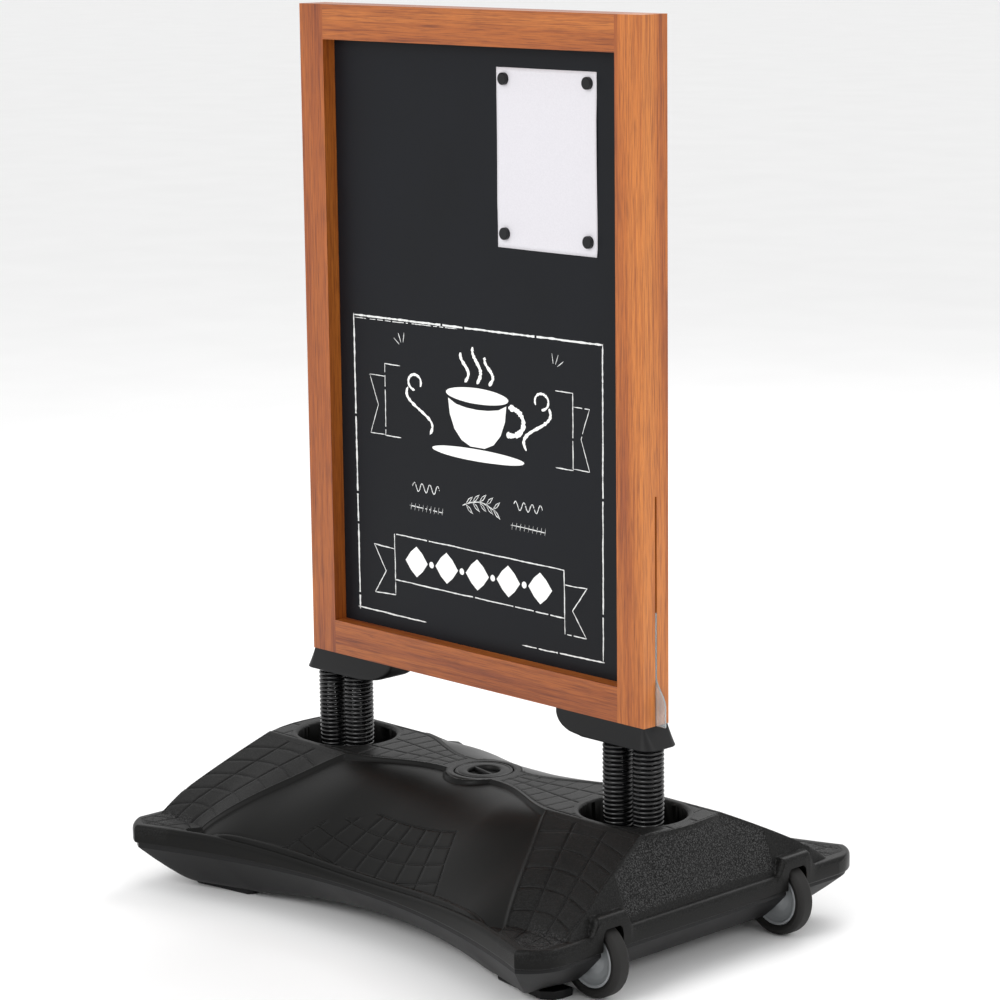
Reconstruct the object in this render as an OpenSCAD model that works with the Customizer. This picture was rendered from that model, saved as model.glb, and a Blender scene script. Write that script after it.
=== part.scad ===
// Spring-mounted pavement sign: a timber-framed panel on four coil springs over a wheeled, fillable base.
// Millimetres, +Z up, +X along the sign towards the wheels, front face towards -Y, ground at z = 0.

/* [Timber frame] */
// Overall width of the frame
frame_w = 664; // [620:2:690]
// Overall height of the frame
frame_h = 927; // [850:1:1000]
// Thickness of the timber, front to back
frame_t = 47; // [44:1:50]
// Face width of each stile and rail
member_w = 48.5; // [44:0.5:54]
// Height of the frame's bottom edge above the ground
frame_z = 313; // [310:1:330]
// Length of the slot in the right stile's outer edge
slot_h = 307; // [200:1:400]

/* [Panel, sheet and magnets] */
// Thickness of each writing board
board_t = 1; // [0.8:0.1:1.2]
// Thickness of the core between the boards
core_t = 2.1; // [1.8:0.1:2.4]
// Thickness of the clear locking strip
strip_t = 2.6; // [2:0.1:2.8]
// How far the strip's pull tab stands out of the stile
tab_out = 17; // [10:1:24]
// Width of the notice sheet
sheet_w = 187; // [150:1:210]
// Height of the notice sheet
sheet_h = 240; // [200:1:297]
// Diameter of each magnet
magnet_d = 16.5; // [12:0.5:24]

/* [Brackets and springs] */
// Length of each bracket along the frame
bracket_l = 182; // [176:1:200]
// Height of each bracket
bracket_h = 29; // [27:1:30]
// Outer diameter of each coil spring
spring_d = 43; // [40:0.5:46]
// Diameter of the spring wire
wire_d = 5.8; // [5:0.1:6.2]
// Distance from one coil to the next
spring_pitch = 6.3; // [6.3:0.1:6.8]
// Distance between the two springs of a pair
spring_gap = 55; // [52:1:58]
// Distance from the middle of the sign to the middle of each spring pair
pair_x = 289.5; // [285:0.5:294]

/* [Base] */
// Length of the base along the sign
base_l = 850; // [830:2:870]
// Half width of the base at its waist
waist_y = 240; // [230:1:250]
// Height of the flat ridge that carries the springs
ridge_z = 189; // [180:1:200]
// Height of the lip's top edge
lip_top = 95; // [90:1:100]
// Height of the seam where the cover meets the pan
seam_z = 70; // [66:1:74]
// Wall thickness of the moulded base
wall = 5; // [4:0.5:6]

/* [Wheels and filler] */
// Diameter of each wheel over its tyre
wheel_d = 104; // [100:1:106]
// Width of each tyre
tyre_w = 26; // [22:1:28]
// Distance from the middle of the base to the wheel axles
wheel_x = 392; // [386:1:394]
// Distance from the centre line to each wheel
wheel_y = 177; // [170:1:180]
// Diameter of the filler cap
cap_d = 82; // [76:1:84]

/* [Hidden] */

fine = 96;
eps = 0.01;
slack = 0.1;                                   // radial play round dowels, screws and bolts
origin_shift = -(wheel_x + wheel_d / 2 - base_l / 2) / 2;

// Frame and panel
opening_w = frame_w - 2 * member_w;
stack_t = 2 * board_t + core_t;
groove_d = 10;
groove_t = stack_t + 0.4;
board_in = 8;                                  // how far the boards reach into the grooves
slot_t = strip_t + 0.6;
dowel_r = 4;
dowel_l = 30;
dowel_off = 10;

// Locking strip
strip_h = 152;
strip_depth = 30;                              // how deep the strip sits in the stile
tab_low_z = 27;                                // full tab up to here, above the frame's bottom edge
tab_high_z = 67;                               // tab has curved back into the stile by here

// Notice sheet and magnets
sheet_x = 44;
sheet_top = 851;                               // above the frame's bottom edge
sheet_t = 0.3;
magnet_t = 6;
magnet_edge_x = 15;
magnet_edge_z = 15;

// Brackets, plates and plugs
bracket_top_x = frame_w / 2;
bracket_end = frame_w / 2 + 16;                // the outer end leans out to here at the bottom
bracket_flare = 64;                            // width at the bottom edge
bracket_wall = 3.5;
bracket_curve = 45;
plate_t = 4;
plate_z = frame_z - bracket_h + 2;             // underside of the spring plate
plug_r = spring_d / 2 - wire_d - 0.3;
plug_h = 24;
plate_in = bracket_end - 143;
plate_out = bracket_end - 9.2;
plate_half = 26;
post_r = 8;
post_spots = [bracket_end - 108, bracket_end - 30];
screw_spots = [bracket_end - 133, bracket_end - 44];
screw_y = 12.5;
screw_r = 3.5;
screw_head_r = 6.5;
screw_head_h = 4;
screw_reach = 32;
socket_l = 150;
socket_w = 130;
socket_floor = 122;
anchor_w = 52;
anchor_l = 118;
spring_low = socket_floor + plate_t;
spring_len = plate_z - spring_low;
bolt_x = anchor_l / 2 - 6;
bolt_y = anchor_w / 2 - 6;
bolt_r = 3;
bolt_l = 9;
bolt_head_r = 5.2;
bolt_head_h = 3.5;

// Base outline
corner_r = 58;
waist_k = 1950;                                // the long sides follow waist_y + x^2 / waist_k
corner_x = base_l / 2 - corner_r;
function turn_x(n) = n == 0 ? corner_x : corner_x + corner_r * sin(atan(2 * turn_x(n - 1) / waist_k));
arc_x = turn_x(6);
arc_a = atan(2 * arc_x / waist_k);
corner_y = waist_y + arc_x * arc_x / waist_k - corner_r * cos(arc_a);
function side_y(a) = a < arc_x ? waist_y + a * a / waist_k
    : corner_y + sqrt(max(0, corner_r * corner_r - (a - corner_x) * (a - corner_x)));

// Base top surface
lip_round = 8;
boss_r = 51;
spine_half = 26;
hump_half = 76;
hump_end = 385;
leg_run = 250;
function clamp(t) = max(0, min(1, t));
function smooth(t) = let(c = clamp(t)) c * c * (3 - 2 * c);
function blend(a, b, t) = a + (b - a) * t;
function flat_half(a) = max(blend(spine_half, hump_half, smooth((a - 60) / 155)),
    a < boss_r ? sqrt(boss_r * boss_r - a * a) : 0);
function fall_y(a, b) = let(y0 = flat_half(a), y1 = blend(side_y(a) - 4, leg_run, smooth((a - 230) / 110)))
    pow(1 - clamp((b - y0) / (y1 - y0)), 0.85);
function fall_x(a) = 1 - pow(clamp((a - hump_end) / (base_l / 2 - 10 - hump_end)), 1.3);
function edge_z(d) = d >= lip_round ? ridge_z
    : lip_top - lip_round + sqrt(lip_round * lip_round - (lip_round - d) * (lip_round - d));
function top_z(x, y) = let(a = abs(x), b = abs(y))
    min(lip_top + (ridge_z - lip_top) * min(fall_y(a, b), fall_x(a)),
        edge_z(max(0, min(side_y(a) - b, base_l / 2 - a))));

// Grid of columns along x and rows along y that follows the outline, the ridge and the lip
function arc_columns(n) = [for (i = [1:n]) corner_x + corner_r * sin(blend(arc_a, 90, i / n))];
function mirrored(half) = concat([for (i = [len(half) - 1:-1:1]) -half[i]], half);
cover_columns = concat([0, boss_r / 2, boss_r, 80, 125, 170, 215, 270, 330, arc_x], arc_columns(4));
pan_columns = concat([for (i = [0:15]) arc_x * i / 15], arc_columns(5));
function row_y(a, inset) = let(f = flat_half(a), s = side_y(a) - inset)
    mirrored([0, f / 2, f, blend(f, s, 0.3), blend(f, s, 0.65), s - lip_round, s]);

// Pan
pan_x = 0.875;
pan_y = 0.785;
rim_band = 4;
pad_h = 8;
arch_h = 14;
arch_half = 230;
pad_in = 250;
pad_out = 368;
pad_side = 202;
function floor_z(a) = pad_h + arch_h * (a < arch_half ? 1 - pow(a / arch_half, 2) : smooth((a - 330) / 40));

// Wheels, pockets and filler
pocket_w = tyre_w + 10;
pocket_x = wheel_x - wheel_d / 2 - 8;
pocket_top = wheel_d + 8;
pod_wall = 12;
pin_r = 4;
pin_l = pocket_w + 2 * pod_wall - 4;
pin_way = 4;                                   // the bore runs on through the inner wall for the pin
spacer_play = 0.4;
wheel_z = wheel_d / 2 + 0.5;
hub_r = 38.5;
hub_w = 22;
boss_w = 26;
bore_play = 0.05;
neck_r = 31;
neck_l = 24;
cap_t = 5;
cap_play = 1.2;
cap_recess_r = 23;
cap_recess_d = 12;
cap_floor = 3;
grip_w = 6;
grip_turn = -12;
gasket_t = 2;
plug_l = 18;

module place() translate([origin_shift, 0, 0]) children();
module at_frame() translate([origin_shift, 0, frame_z]) children();

module bar(x0, x1, y0, y1, z0, z1) translate([x0, y0, z0]) cube([x1 - x0, y1 - y0, z1 - z0]);

// ---- Timber frame ----
module dowel_rows(r, extra) {
    for (sx = [-1, 1], z = [member_w / 2, frame_h - member_w / 2], dz = [-dowel_off, dowel_off])
        translate([sx * (frame_w / 2 - member_w), 0, z + dz]) rotate([0, 90, 0])
            cylinder(r = r, h = dowel_l + extra, center = true, $fn = fine);
}

module stile(sx) {
    difference() {
        translate([sx > 0 ? frame_w / 2 - member_w : -frame_w / 2, -frame_t / 2, 0])
            cube([member_w, frame_t, frame_h]);
        bar(-opening_w / 2 - groove_d, opening_w / 2 + groove_d, -groove_t / 2, groove_t / 2,
            member_w - groove_d, frame_h - member_w + groove_d);
        dowel_rows(dowel_r + slack, 1);
        if (sx > 0)
            bar(frame_w / 2 - strip_depth - 0.5, frame_w / 2 + 1, -slot_t / 2, slot_t / 2, -1, slot_h);
        bracket_screw_holes(sx);
    }
}

module stile_left() at_frame() color([0.75, 0.48, 0.28]) stile(-1);
module stile_right() at_frame() color([0.75, 0.48, 0.28]) stile(1);

module rail(top) {
    z0 = top ? frame_h - member_w : 0;
    difference() {
        bar(-opening_w / 2, opening_w / 2, -frame_t / 2, frame_t / 2, z0, z0 + member_w);
        bar(-opening_w / 2 - 1, opening_w / 2 + 1, -groove_t / 2, groove_t / 2,
            top ? z0 - 1 : member_w - groove_d, top ? z0 + groove_d : member_w + 1);
        dowel_rows(dowel_r + slack, 1);
        if (!top) { bracket_screw_holes(-1); bracket_screw_holes(1); }
    }
}

module rail_top() at_frame() color([0.72, 0.45, 0.26]) rail(true);
module rail_bottom() at_frame() color([0.72, 0.45, 0.26]) rail(false);
module corner_dowels() at_frame() color([0.85, 0.7, 0.5]) dowel_rows(dowel_r, 0);

// ---- Panel ----
module board(y0, t) {
    bar(-opening_w / 2 - board_in, opening_w / 2 + board_in, y0, y0 + t,
        member_w - board_in, frame_h - member_w + board_in);
}

module front_board() at_frame() color([0.16, 0.17, 0.18]) board(-stack_t / 2, board_t);
module panel_core() at_frame() color([0.6, 0.6, 0.58]) board(-core_t / 2, core_t);
module back_board() at_frame() color([0.16, 0.17, 0.18]) board(core_t / 2, board_t);

module notice_sheet() at_frame() color([0.94, 0.93, 0.95])
    bar(sheet_x, sheet_x + sheet_w, -stack_t / 2 - sheet_t, -stack_t / 2, sheet_top - sheet_h, sheet_top);

module magnet(right, top) {
    x = right ? sheet_x + sheet_w - magnet_edge_x : sheet_x + magnet_edge_x;
    z = top ? sheet_top - magnet_edge_z : sheet_top - sheet_h + magnet_edge_z + 4;
    r = magnet_d / 2;
    color([0.06, 0.06, 0.07]) translate([x, -stack_t / 2 - sheet_t, z]) rotate([90, 0, 0])
        rotate_extrude($fn = fine)
            polygon([[0, 0], [r, 0], [r, magnet_t - 1.2], [r - 1.2, magnet_t], [0, magnet_t]]);
}

module magnet_top_left() at_frame() magnet(false, true);
module magnet_top_right() at_frame() magnet(true, true);
module magnet_bottom_left() at_frame() magnet(false, false);
module magnet_bottom_right() at_frame() magnet(true, false);

module locking_strip() {
    x1 = frame_w / 2;
    x0 = x1 - strip_depth;
    n = 12;
    curve = [for (i = [0:n])
        [x1 + tab_out * (1 + cos(180 * i / n)) / 2, blend(tab_low_z, tab_high_z, i / n)]];
    at_frame() color([0.8, 0.88, 0.9, 0.5]) translate([0, strip_t / 2, 0.5]) rotate([90, 0, 0])
        linear_extrude(strip_t)
            polygon(concat([[x0, strip_h], [x0, 0], [x1 + tab_out, 0]], curve, [[x1, strip_h]]));
}

// ---- Brackets and their hardware, drawn for the right end and mirrored ----
module both_sides(sx) mirror([sx < 0 ? 1 : 0, 0, 0]) children();

module bracket_screw_holes(sx) both_sides(sx) for (x = screw_spots, y = [-screw_y, screw_y])
    translate([x, y, -bracket_wall - 1])
        cylinder(r = screw_r + slack, h = bracket_wall + screw_reach + 2, $fn = fine);

module bracket_end_view(inset) polygon([
    [-frame_t / 2 + inset, 0], [-bracket_flare / 2 + inset, -bracket_h - 1],
    [bracket_flare / 2 - inset, -bracket_h - 1], [frame_t / 2 - inset, 0]]);

module bracket_body(inset) intersection() {
    translate([0, bracket_flare, 0]) rotate([90, 0, 0])
        linear_extrude(2 * bracket_flare) polygon(bracket_outline(inset));
    rotate([90, 0, 90]) linear_extrude(frame_w) bracket_end_view(inset);
}

function bracket_outline(inset) = let(x0 = bracket_end - bracket_l + inset, n = 10)
    concat([[bracket_top_x - inset, -inset], [bracket_end - inset, -bracket_h - inset]],
        [for (i = [0:n]) let(a = 90 * (1 - i / n))
            [x0 + bracket_curve * (1 - cos(a)), -inset - bracket_h * sin(a)]]);

module bracket(sx) color([0.08, 0.08, 0.085]) at_frame() both_sides(sx) difference() {
    bracket_body(0);
    bracket_body(bracket_wall);
    bracket_screw_holes(1);
}

module bracket_left() bracket(-1);
module bracket_right() bracket(1);

module at_springs() for (dx = [-spring_gap / 2, spring_gap / 2]) translate([pair_x + dx, 0, 0]) children();

module spring_plate(sx) color([0.55, 0.56, 0.58]) place() both_sides(sx) union() {
    bar(plate_in, plate_out, -plate_half, plate_half, plate_z, plate_z + plate_t);
    for (x = post_spots) translate([x, 0, plate_z])
        cylinder(r = post_r, h = frame_z - bracket_wall - plate_z, $fn = fine);
    at_springs() translate([0, 0, plate_z - plug_h]) cylinder(r = plug_r, h = plug_h + eps, $fn = fine);
}

module spring_plate_left() spring_plate(-1);
module spring_plate_right() spring_plate(1);

module bracket_screws() color([0.6, 0.6, 0.62]) at_frame() for (sx = [-1, 1]) both_sides(sx)
    for (x = screw_spots, y = [-screw_y, screw_y]) translate([x, y, -bracket_wall - screw_head_h]) {
        cylinder(r = screw_head_r, h = screw_head_h, $fn = fine);
        cylinder(r = screw_r, h = screw_head_h + bracket_wall + screw_reach, $fn = fine);
    }

// ---- Springs: close coils shown as a ribbed sleeve ----
module spring(sx, dx) {
    turns = floor(spring_len / spring_pitch);
    lead = (spring_len - turns * spring_pitch) / 2;
    r = spring_d / 2;
    rib = concat([[r - 1.4, 0]],
        [for (i = [0:turns - 1], p = [[-1.4, 0], [0, 0.3], [0, 0.7], [-1.4, 1]])
            [r + p[0], lead + spring_pitch * (i + p[1])]], [[r - 1.4, spring_len]]);
    color([0.1, 0.1, 0.11]) place() both_sides(sx) translate([pair_x + dx * spring_gap / 2, 0, spring_low])
        rotate_extrude($fn = fine) polygon(concat([[r - wire_d, 0]], rib, [[r - wire_d, spring_len]]));
}

module spring_left_outer() spring(-1, 1);
module spring_left_inner() spring(-1, -1);
module spring_right_inner() spring(1, -1);
module spring_right_outer() spring(1, 1);

module anchor(sx) color([0.55, 0.56, 0.58]) place() both_sides(sx) difference() {
    union() {
        bar(pair_x - anchor_l / 2, pair_x + anchor_l / 2, -anchor_w / 2, anchor_w / 2,
            socket_floor, socket_floor + plate_t);
        at_springs() translate([0, 0, socket_floor + plate_t - eps])
            cylinder(r = plug_r, h = plug_h, $fn = fine);
    }
    for (dx = [-1, 1], dy = [-1, 1]) translate([pair_x + dx * bolt_x, dy * bolt_y, socket_floor - 1])
        cylinder(r = bolt_r + slack, h = plate_t + 2, $fn = fine);
}

module anchor_left() anchor(-1);
module anchor_right() anchor(1);

module anchor_bolts() color([0.6, 0.6, 0.62]) place() for (sx = [-1, 1]) both_sides(sx)
    for (dx = [-1, 1], dy = [-1, 1])
        translate([pair_x + dx * bolt_x, dy * bolt_y, socket_floor + plate_t - bolt_l]) {
            cylinder(r = bolt_r, h = bolt_l, $fn = fine);
            translate([0, 0, bolt_l]) cylinder(r = bolt_head_r, h = bolt_head_h, $fn = 6);
        }

// ---- Base ----
function grid_index(i, j, rows) = i * rows + j;

// Solid under the top surface down to z0; inset shrinks it all round and lowers it
module cover_solid(inset, z0) {
    cols = mirrored(cover_columns);
    nc = len(cols);
    nr = len(row_y(0, inset));
    shrink_x = (base_l / 2 - inset) / (base_l / 2);
    top = [for (x = cols, y = row_y(abs(x), inset)) let(a = abs(x) * shrink_x, b = abs(y) + inset)
        [x * shrink_x, y, min(top_z(a + inset, b), top_z(a, b)) - inset]];
    rim = concat(
        [for (i = [0:nc - 1]) grid_index(i, 0, nr)], [for (j = [1:nr - 1]) grid_index(nc - 1, j, nr)],
        [for (i = [nc - 2:-1:0]) grid_index(i, nr - 1, nr)], [for (j = [nr - 2:-1:1]) grid_index(0, j, nr)]);
    n = nc * nr;
    m = len(rim);
    points = concat(top, [for (k = rim) [top[k][0], top[k][1], z0]]);
    skin = [for (i = [0:nc - 2], j = [0:nr - 2]) let(a = grid_index(i, j, nr), b = a + nr)
        each [[a, a + 1, b + 1], [a, b + 1, b]]];
    side = [for (k = [0:m - 1]) let(q = (k + 1) % m) each [[rim[k], rim[q], n + q], [rim[k], n + q, n + k]]];
    last = nc - 1;
    far = last + nr - 1;                       // place in the rim of the corner across the end
    function across(i) = n + last + far - i;   // rim point opposite column i
    floor_faces = [for (i = [1:nc - 3]) [n + i, n + i + 1, across(i + 1), across(i)]];
    right_fan = [for (k = [last:far]) [n + last - 1, n + k, n + k + 1]];
    left_fan = [for (k = [last + far:m - 1]) [n + 1, n + k, n + (k + 1) % m], [n + 1, across(1), across(0)]];
    polyhedron(points, concat(skin, side, floor_faces, right_fan, left_fan), convexity = 6);
}

// Solid of the pan from its arched floor up to z1, upright through the rim band below the seam
module pan_solid(inset, z1, lift) {
    cols = mirrored(pan_columns);
    nc = len(cols);
    shrink_x = (base_l / 2 - inset) / (base_l / 2);
    function ring(kx, ky, z_of) = concat(
        [for (x = cols) [x * shrink_x * kx, -(side_y(abs(x)) - inset) * ky, z_of(abs(x) * shrink_x * kx)]],
        [for (i = [nc - 1:-1:0]) [cols[i] * shrink_x * kx, (side_y(abs(cols[i])) - inset) * ky,
            z_of(abs(cols[i]) * shrink_x * kx)]]);
    m = 2 * nc;
    low = ring(pan_x, pan_y, function(a) floor_z(a) + lift);
    band = ring(1, 1, function(a) seam_z - rim_band);
    high = ring(1, 1, function(a) z1);
    floor_faces = [for (i = [0:nc - 2]) let(k = m - 1 - i) [i, i + 1, k - 1, k]];
    lid_faces = [for (i = [0:nc - 2]) let(k = m - 1 - i)
        [2 * m + k, 2 * m + k - 1, 2 * m + i + 1, 2 * m + i]];
    side = [for (k = [0:m - 1]) let(q = (k + 1) % m)
        each [[k, m + k, m + q], [k, m + q, q], [m + k, 2 * m + k, 2 * m + q, m + q]]];
    polyhedron(concat(low, band, high), concat(floor_faces, side, lid_faces), convexity = 6);
}

module oblong(l, w, z0, z1) translate([0, 0, z0]) linear_extrude(z1 - z0) {
    for (sx = [-1, 1]) translate([sx * (l - w) / 2, 0]) circle(d = w, $fn = fine);
    square([l - w, w], center = true);
}

module sockets(grow, z0, z1) for (sx = [-1, 1]) translate([sx * pair_x, 0, 0])
    oblong(socket_l + 2 * grow, socket_w + 2 * grow, z0, z1);

module pockets(grow, z0, z1) for (sy = [-1, 1])
    bar(pocket_x - grow, base_l / 2 + 40, sy * wheel_y - pocket_w / 2 - 2.4 * grow,
        sy * wheel_y + pocket_w / 2 + 2.4 * grow, z0, z1);

module base_cover() color([0.2, 0.2, 0.2]) place() difference() {
    cover_solid(0, seam_z);
    difference() {
        cover_solid(wall, seam_z - 10);
        sockets(wall, socket_floor - wall, ridge_z + 10);
        pockets(wall, seam_z - 20, pocket_top + wall);
        translate([0, 0, ridge_z - neck_l - wall])
            cylinder(r = cap_d / 2 + cap_play + 4, h = neck_l + 20, $fn = fine);
    }
    sockets(0, socket_floor, ridge_z + 10);
    pockets(0, seam_z - 20, pocket_top);
    translate([0, 0, ridge_z - neck_l - wall - 1]) cylinder(r = neck_r, h = neck_l + 20, $fn = fine);
    translate([0, 0, ridge_z - cap_t - gasket_t]) cylinder(r = cap_d / 2 + cap_play, h = 20, $fn = fine);
    for (sx = [-1, 1]) both_sides(sx) for (dx = [-1, 1], dy = [-1, 1])
        translate([pair_x + dx * bolt_x, dy * bolt_y, socket_floor - wall - 1])
            cylinder(r = bolt_r + slack, h = wall + 2, $fn = fine);
}

module foot_pad() linear_extrude(pad_h + 1) polygon([
    [pad_in, -pad_side], [pad_in + 4, -side_y(pad_in) * pan_y],
    [(pad_in + pad_out) / 2, -side_y(320) * pan_y],
    [pad_out - 18, -side_y(375) * pan_y], [pad_out, -side_y(375) * pan_y + 14], [pad_out, -pad_side]]);

module base_pan() color([0.2, 0.2, 0.2]) place() difference() {
    union() {
        difference() {
            pan_solid(0, seam_z, 0);
            difference() {
                pan_solid(wall, seam_z + 10, wall);
                pockets(wall, -10, seam_z + 10);
            }
        }
        for (sx = [0, 1], sy = [0, 1]) mirror([sx, 0, 0]) mirror([0, sy, 0]) foot_pad();
    }
    pockets(0, -20, seam_z + 10);
    for (sy = [-1, 1]) translate([wheel_x, sy * wheel_y, wheel_z]) rotate([90, 0, 0])
        translate([0, 0, sy * pin_way / 2])
            cylinder(r = pin_r + bore_play, h = pin_l + 0.4 + pin_way, center = true, $fn = fine);
}

// ---- Filler cap, drawn on the ridge ----
module filler_cap() color([0.22, 0.22, 0.22]) place() translate([0, 0, ridge_z - cap_t]) difference() {
    union() {
        cylinder(r = cap_d / 2, h = cap_t, $fn = fine);
        translate([0, 0, -plug_l]) cylinder(r = neck_r - 1, h = plug_l + eps, $fn = fine);
    }
    translate([0, 0, -plug_l - 1])
        cylinder(r = neck_r - 5, h = plug_l + 1 + cap_t - cap_recess_d - cap_floor, $fn = fine);
    difference() {
        translate([0, 0, cap_t - cap_recess_d]) cylinder(r = cap_recess_r, h = cap_recess_d + 1, $fn = fine);
        rotate([0, 0, grip_turn]) bar(-cap_d / 2, cap_d / 2, -grip_w / 2, grip_w / 2, -plug_l, cap_t);
    }
}

module cap_gasket() color([0.05, 0.05, 0.05]) place()
    translate([0, 0, ridge_z - cap_t - gasket_t]) difference() {
        cylinder(r = cap_d / 2 - 1, h = gasket_t, $fn = fine);
        translate([0, 0, -1]) cylinder(r = neck_r + 1, h = gasket_t + 2, $fn = fine);
    }

// ---- Wheels ----
module at_wheel(sy) place() translate([wheel_x, sy * wheel_y, wheel_z]) rotate([90, 0, 0]) children();

module wheel_pins() color([0.6, 0.6, 0.62]) for (sy = [-1, 1]) at_wheel(sy)
    cylinder(r = pin_r, h = pin_l, center = true, $fn = fine);

module pin_spacers() color([0.85, 0.85, 0.83]) for (sy = [-1, 1], side = [-1, 1]) at_wheel(sy)
    translate([0, 0, side * ((boss_w + pocket_w) / 4 + spacer_play / 2)]) difference() {
        cylinder(r = 9, h = (pocket_w - boss_w) / 2 - spacer_play, center = true, $fn = fine);
        cylinder(r = pin_r + slack, h = pocket_w, center = true, $fn = fine);
    }

module hub(sy) color([0.78, 0.79, 0.8]) at_wheel(sy) rotate_extrude($fn = fine) polygon([
    [pin_r + bore_play, -boss_w / 2], [11, -boss_w / 2], [13, -3], [hub_r - 5, -3], [hub_r - 3, -hub_w / 2],
    [hub_r, -hub_w / 2], [hub_r, hub_w / 2], [hub_r - 3, hub_w / 2], [hub_r - 5, 3], [13, 3],
    [11, boss_w / 2], [pin_r + bore_play, boss_w / 2]]);

module hub_front() hub(-1);
module hub_back() hub(1);

module tyre(sy) {
    r = wheel_d / 2;
    shoulder = 7;
    n = 6;
    crown = [for (i = [0:n]) let(a = 90 * i / n)
        [r - shoulder + shoulder * sin(a), tyre_w / 2 - shoulder * (1 - cos(a))]];
    color([0.15, 0.15, 0.15]) at_wheel(sy) rotate_extrude($fn = fine) polygon(concat(
        [[hub_r, -hub_w / 2], [hub_r, hub_w / 2], [hub_r + 2, tyre_w / 2]], crown,
        [for (i = [n:-1:0]) [crown[i][0], -crown[i][1]]], [[hub_r + 2, -tyre_w / 2]]));
}

module tyre_front() tyre(-1);
module tyre_back() tyre(1);

stile_left();
stile_right();
rail_top();
rail_bottom();
corner_dowels();
front_board();
panel_core();
back_board();
notice_sheet();
magnet_top_left();
magnet_top_right();
magnet_bottom_left();
magnet_bottom_right();
locking_strip();
bracket_left();
bracket_right();
spring_plate_left();
spring_plate_right();
bracket_screws();
spring_left_outer();
spring_left_inner();
spring_right_inner();
spring_right_outer();
anchor_left();
anchor_right();
anchor_bolts();
base_cover();
base_pan();
filler_cap();
cap_gasket();
wheel_pins();
pin_spacers();
hub_front();
hub_back();
tyre_front();
tyre_back();
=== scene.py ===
import math

import bmesh
import bpy
import numpy as np
from mathutils import Matrix, Vector


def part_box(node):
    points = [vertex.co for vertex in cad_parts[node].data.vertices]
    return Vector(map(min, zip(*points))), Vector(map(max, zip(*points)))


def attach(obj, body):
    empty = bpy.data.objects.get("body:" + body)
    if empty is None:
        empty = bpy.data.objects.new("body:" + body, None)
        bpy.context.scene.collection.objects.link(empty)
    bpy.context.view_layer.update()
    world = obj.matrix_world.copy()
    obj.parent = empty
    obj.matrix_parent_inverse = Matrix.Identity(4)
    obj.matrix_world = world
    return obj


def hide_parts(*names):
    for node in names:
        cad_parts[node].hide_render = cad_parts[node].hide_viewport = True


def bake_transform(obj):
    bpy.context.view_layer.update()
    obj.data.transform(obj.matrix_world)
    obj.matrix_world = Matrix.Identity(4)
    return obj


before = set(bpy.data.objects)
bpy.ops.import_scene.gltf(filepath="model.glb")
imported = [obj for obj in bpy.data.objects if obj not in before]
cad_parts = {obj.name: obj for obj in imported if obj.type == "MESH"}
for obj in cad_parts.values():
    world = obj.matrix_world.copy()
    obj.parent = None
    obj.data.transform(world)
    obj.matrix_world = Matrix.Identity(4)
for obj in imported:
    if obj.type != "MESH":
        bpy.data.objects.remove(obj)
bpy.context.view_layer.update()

MM = 0.001
rng = np.random.default_rng(7)


# ---- Places taken from the frame, in millimetres ----
def node_box(name):
    low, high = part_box(name)
    return np.array(low) / MM, np.array(high) / MM


cover_low, cover_high = node_box("base_cover")
centre_x = (cover_low[0] + cover_high[0]) / 2          # the wheels shift the base's middle from the part's
half_l = (cover_high[0] - cover_low[0]) / 2
ridge_z, seam_z = cover_high[2], cover_low[2]
board_low = node_box("front_board")[0]
cap_low, cap_high = node_box("filler_cap")
tyre_low, tyre_high = node_box("tyre_front")
wheel_r = (tyre_high[2] - tyre_low[2]) / 2
wheel_at = (tyre_low + tyre_high) / 2
wheel_y = -wheel_at[1]


# ---- Mesh helpers ----
def make(name, verts_mm, faces, body, slot, smooth=True, replaces=()):
    mesh = bpy.data.meshes.new(name)
    mesh.from_pydata((np.asarray(verts_mm, float) * MM).tolist(), [], faces)
    mesh.update()
    obj = bpy.data.objects.new(name, mesh)
    bpy.context.scene.collection.objects.link(obj)
    if smooth:
        mesh.shade_smooth()
    if body:
        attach(obj, body)
        if replaces:
            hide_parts(*replaces)
    return obj


def fix_normals(obj):
    bm = bmesh.new()
    bm.from_mesh(obj.data)
    bmesh.ops.remove_doubles(bm, verts=bm.verts, dist=1e-6)
    bmesh.ops.recalc_face_normals(bm, faces=bm.faces)
    bm.to_mesh(obj.data)
    bm.free()


def ring_faces(first, second, count, closed=True):
    """Quads between two rings of points that start at these indices."""
    return [(first + k, first + (k + 1) % count, second + (k + 1) % count, second + k)
            for k in range(count if closed else count - 1)]


def loft(rings, cap_first=True, cap_last=True):
    """Vertices and faces of a skin over equal rings of points."""
    count = len(rings[0])
    verts = np.vstack(rings)
    faces = []
    for level in range(len(rings) - 1):
        faces += ring_faces(level * count, (level + 1) * count, count)
    if cap_first:
        faces.append(tuple(range(count - 1, -1, -1)))
    if cap_last:
        faces.append(tuple(range((len(rings) - 1) * count, len(rings) * count)))
    return verts, faces


def lathe(profile, centre, axis, segments=96, closed=True):
    """A closed profile of (radius, along) points turned about an axis through centre."""
    axis = Vector(axis).normalized()
    side = axis.orthogonal().normalized()
    other = axis.cross(side)
    turns = [2 * math.pi * k / segments for k in range(segments)]
    verts = [Vector(centre) + axis * along + (side * math.cos(t) + other * math.sin(t)) * radius
             for t in turns for radius, along in profile]
    n = len(profile)
    faces = []
    for k in range(segments):
        a, b = k * n, (k + 1) % segments * n
        for i in range(n if closed else n - 1):
            j = (i + 1) % n
            faces.append((a + i, a + j, b + j, b + i))
    return verts, faces


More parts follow.
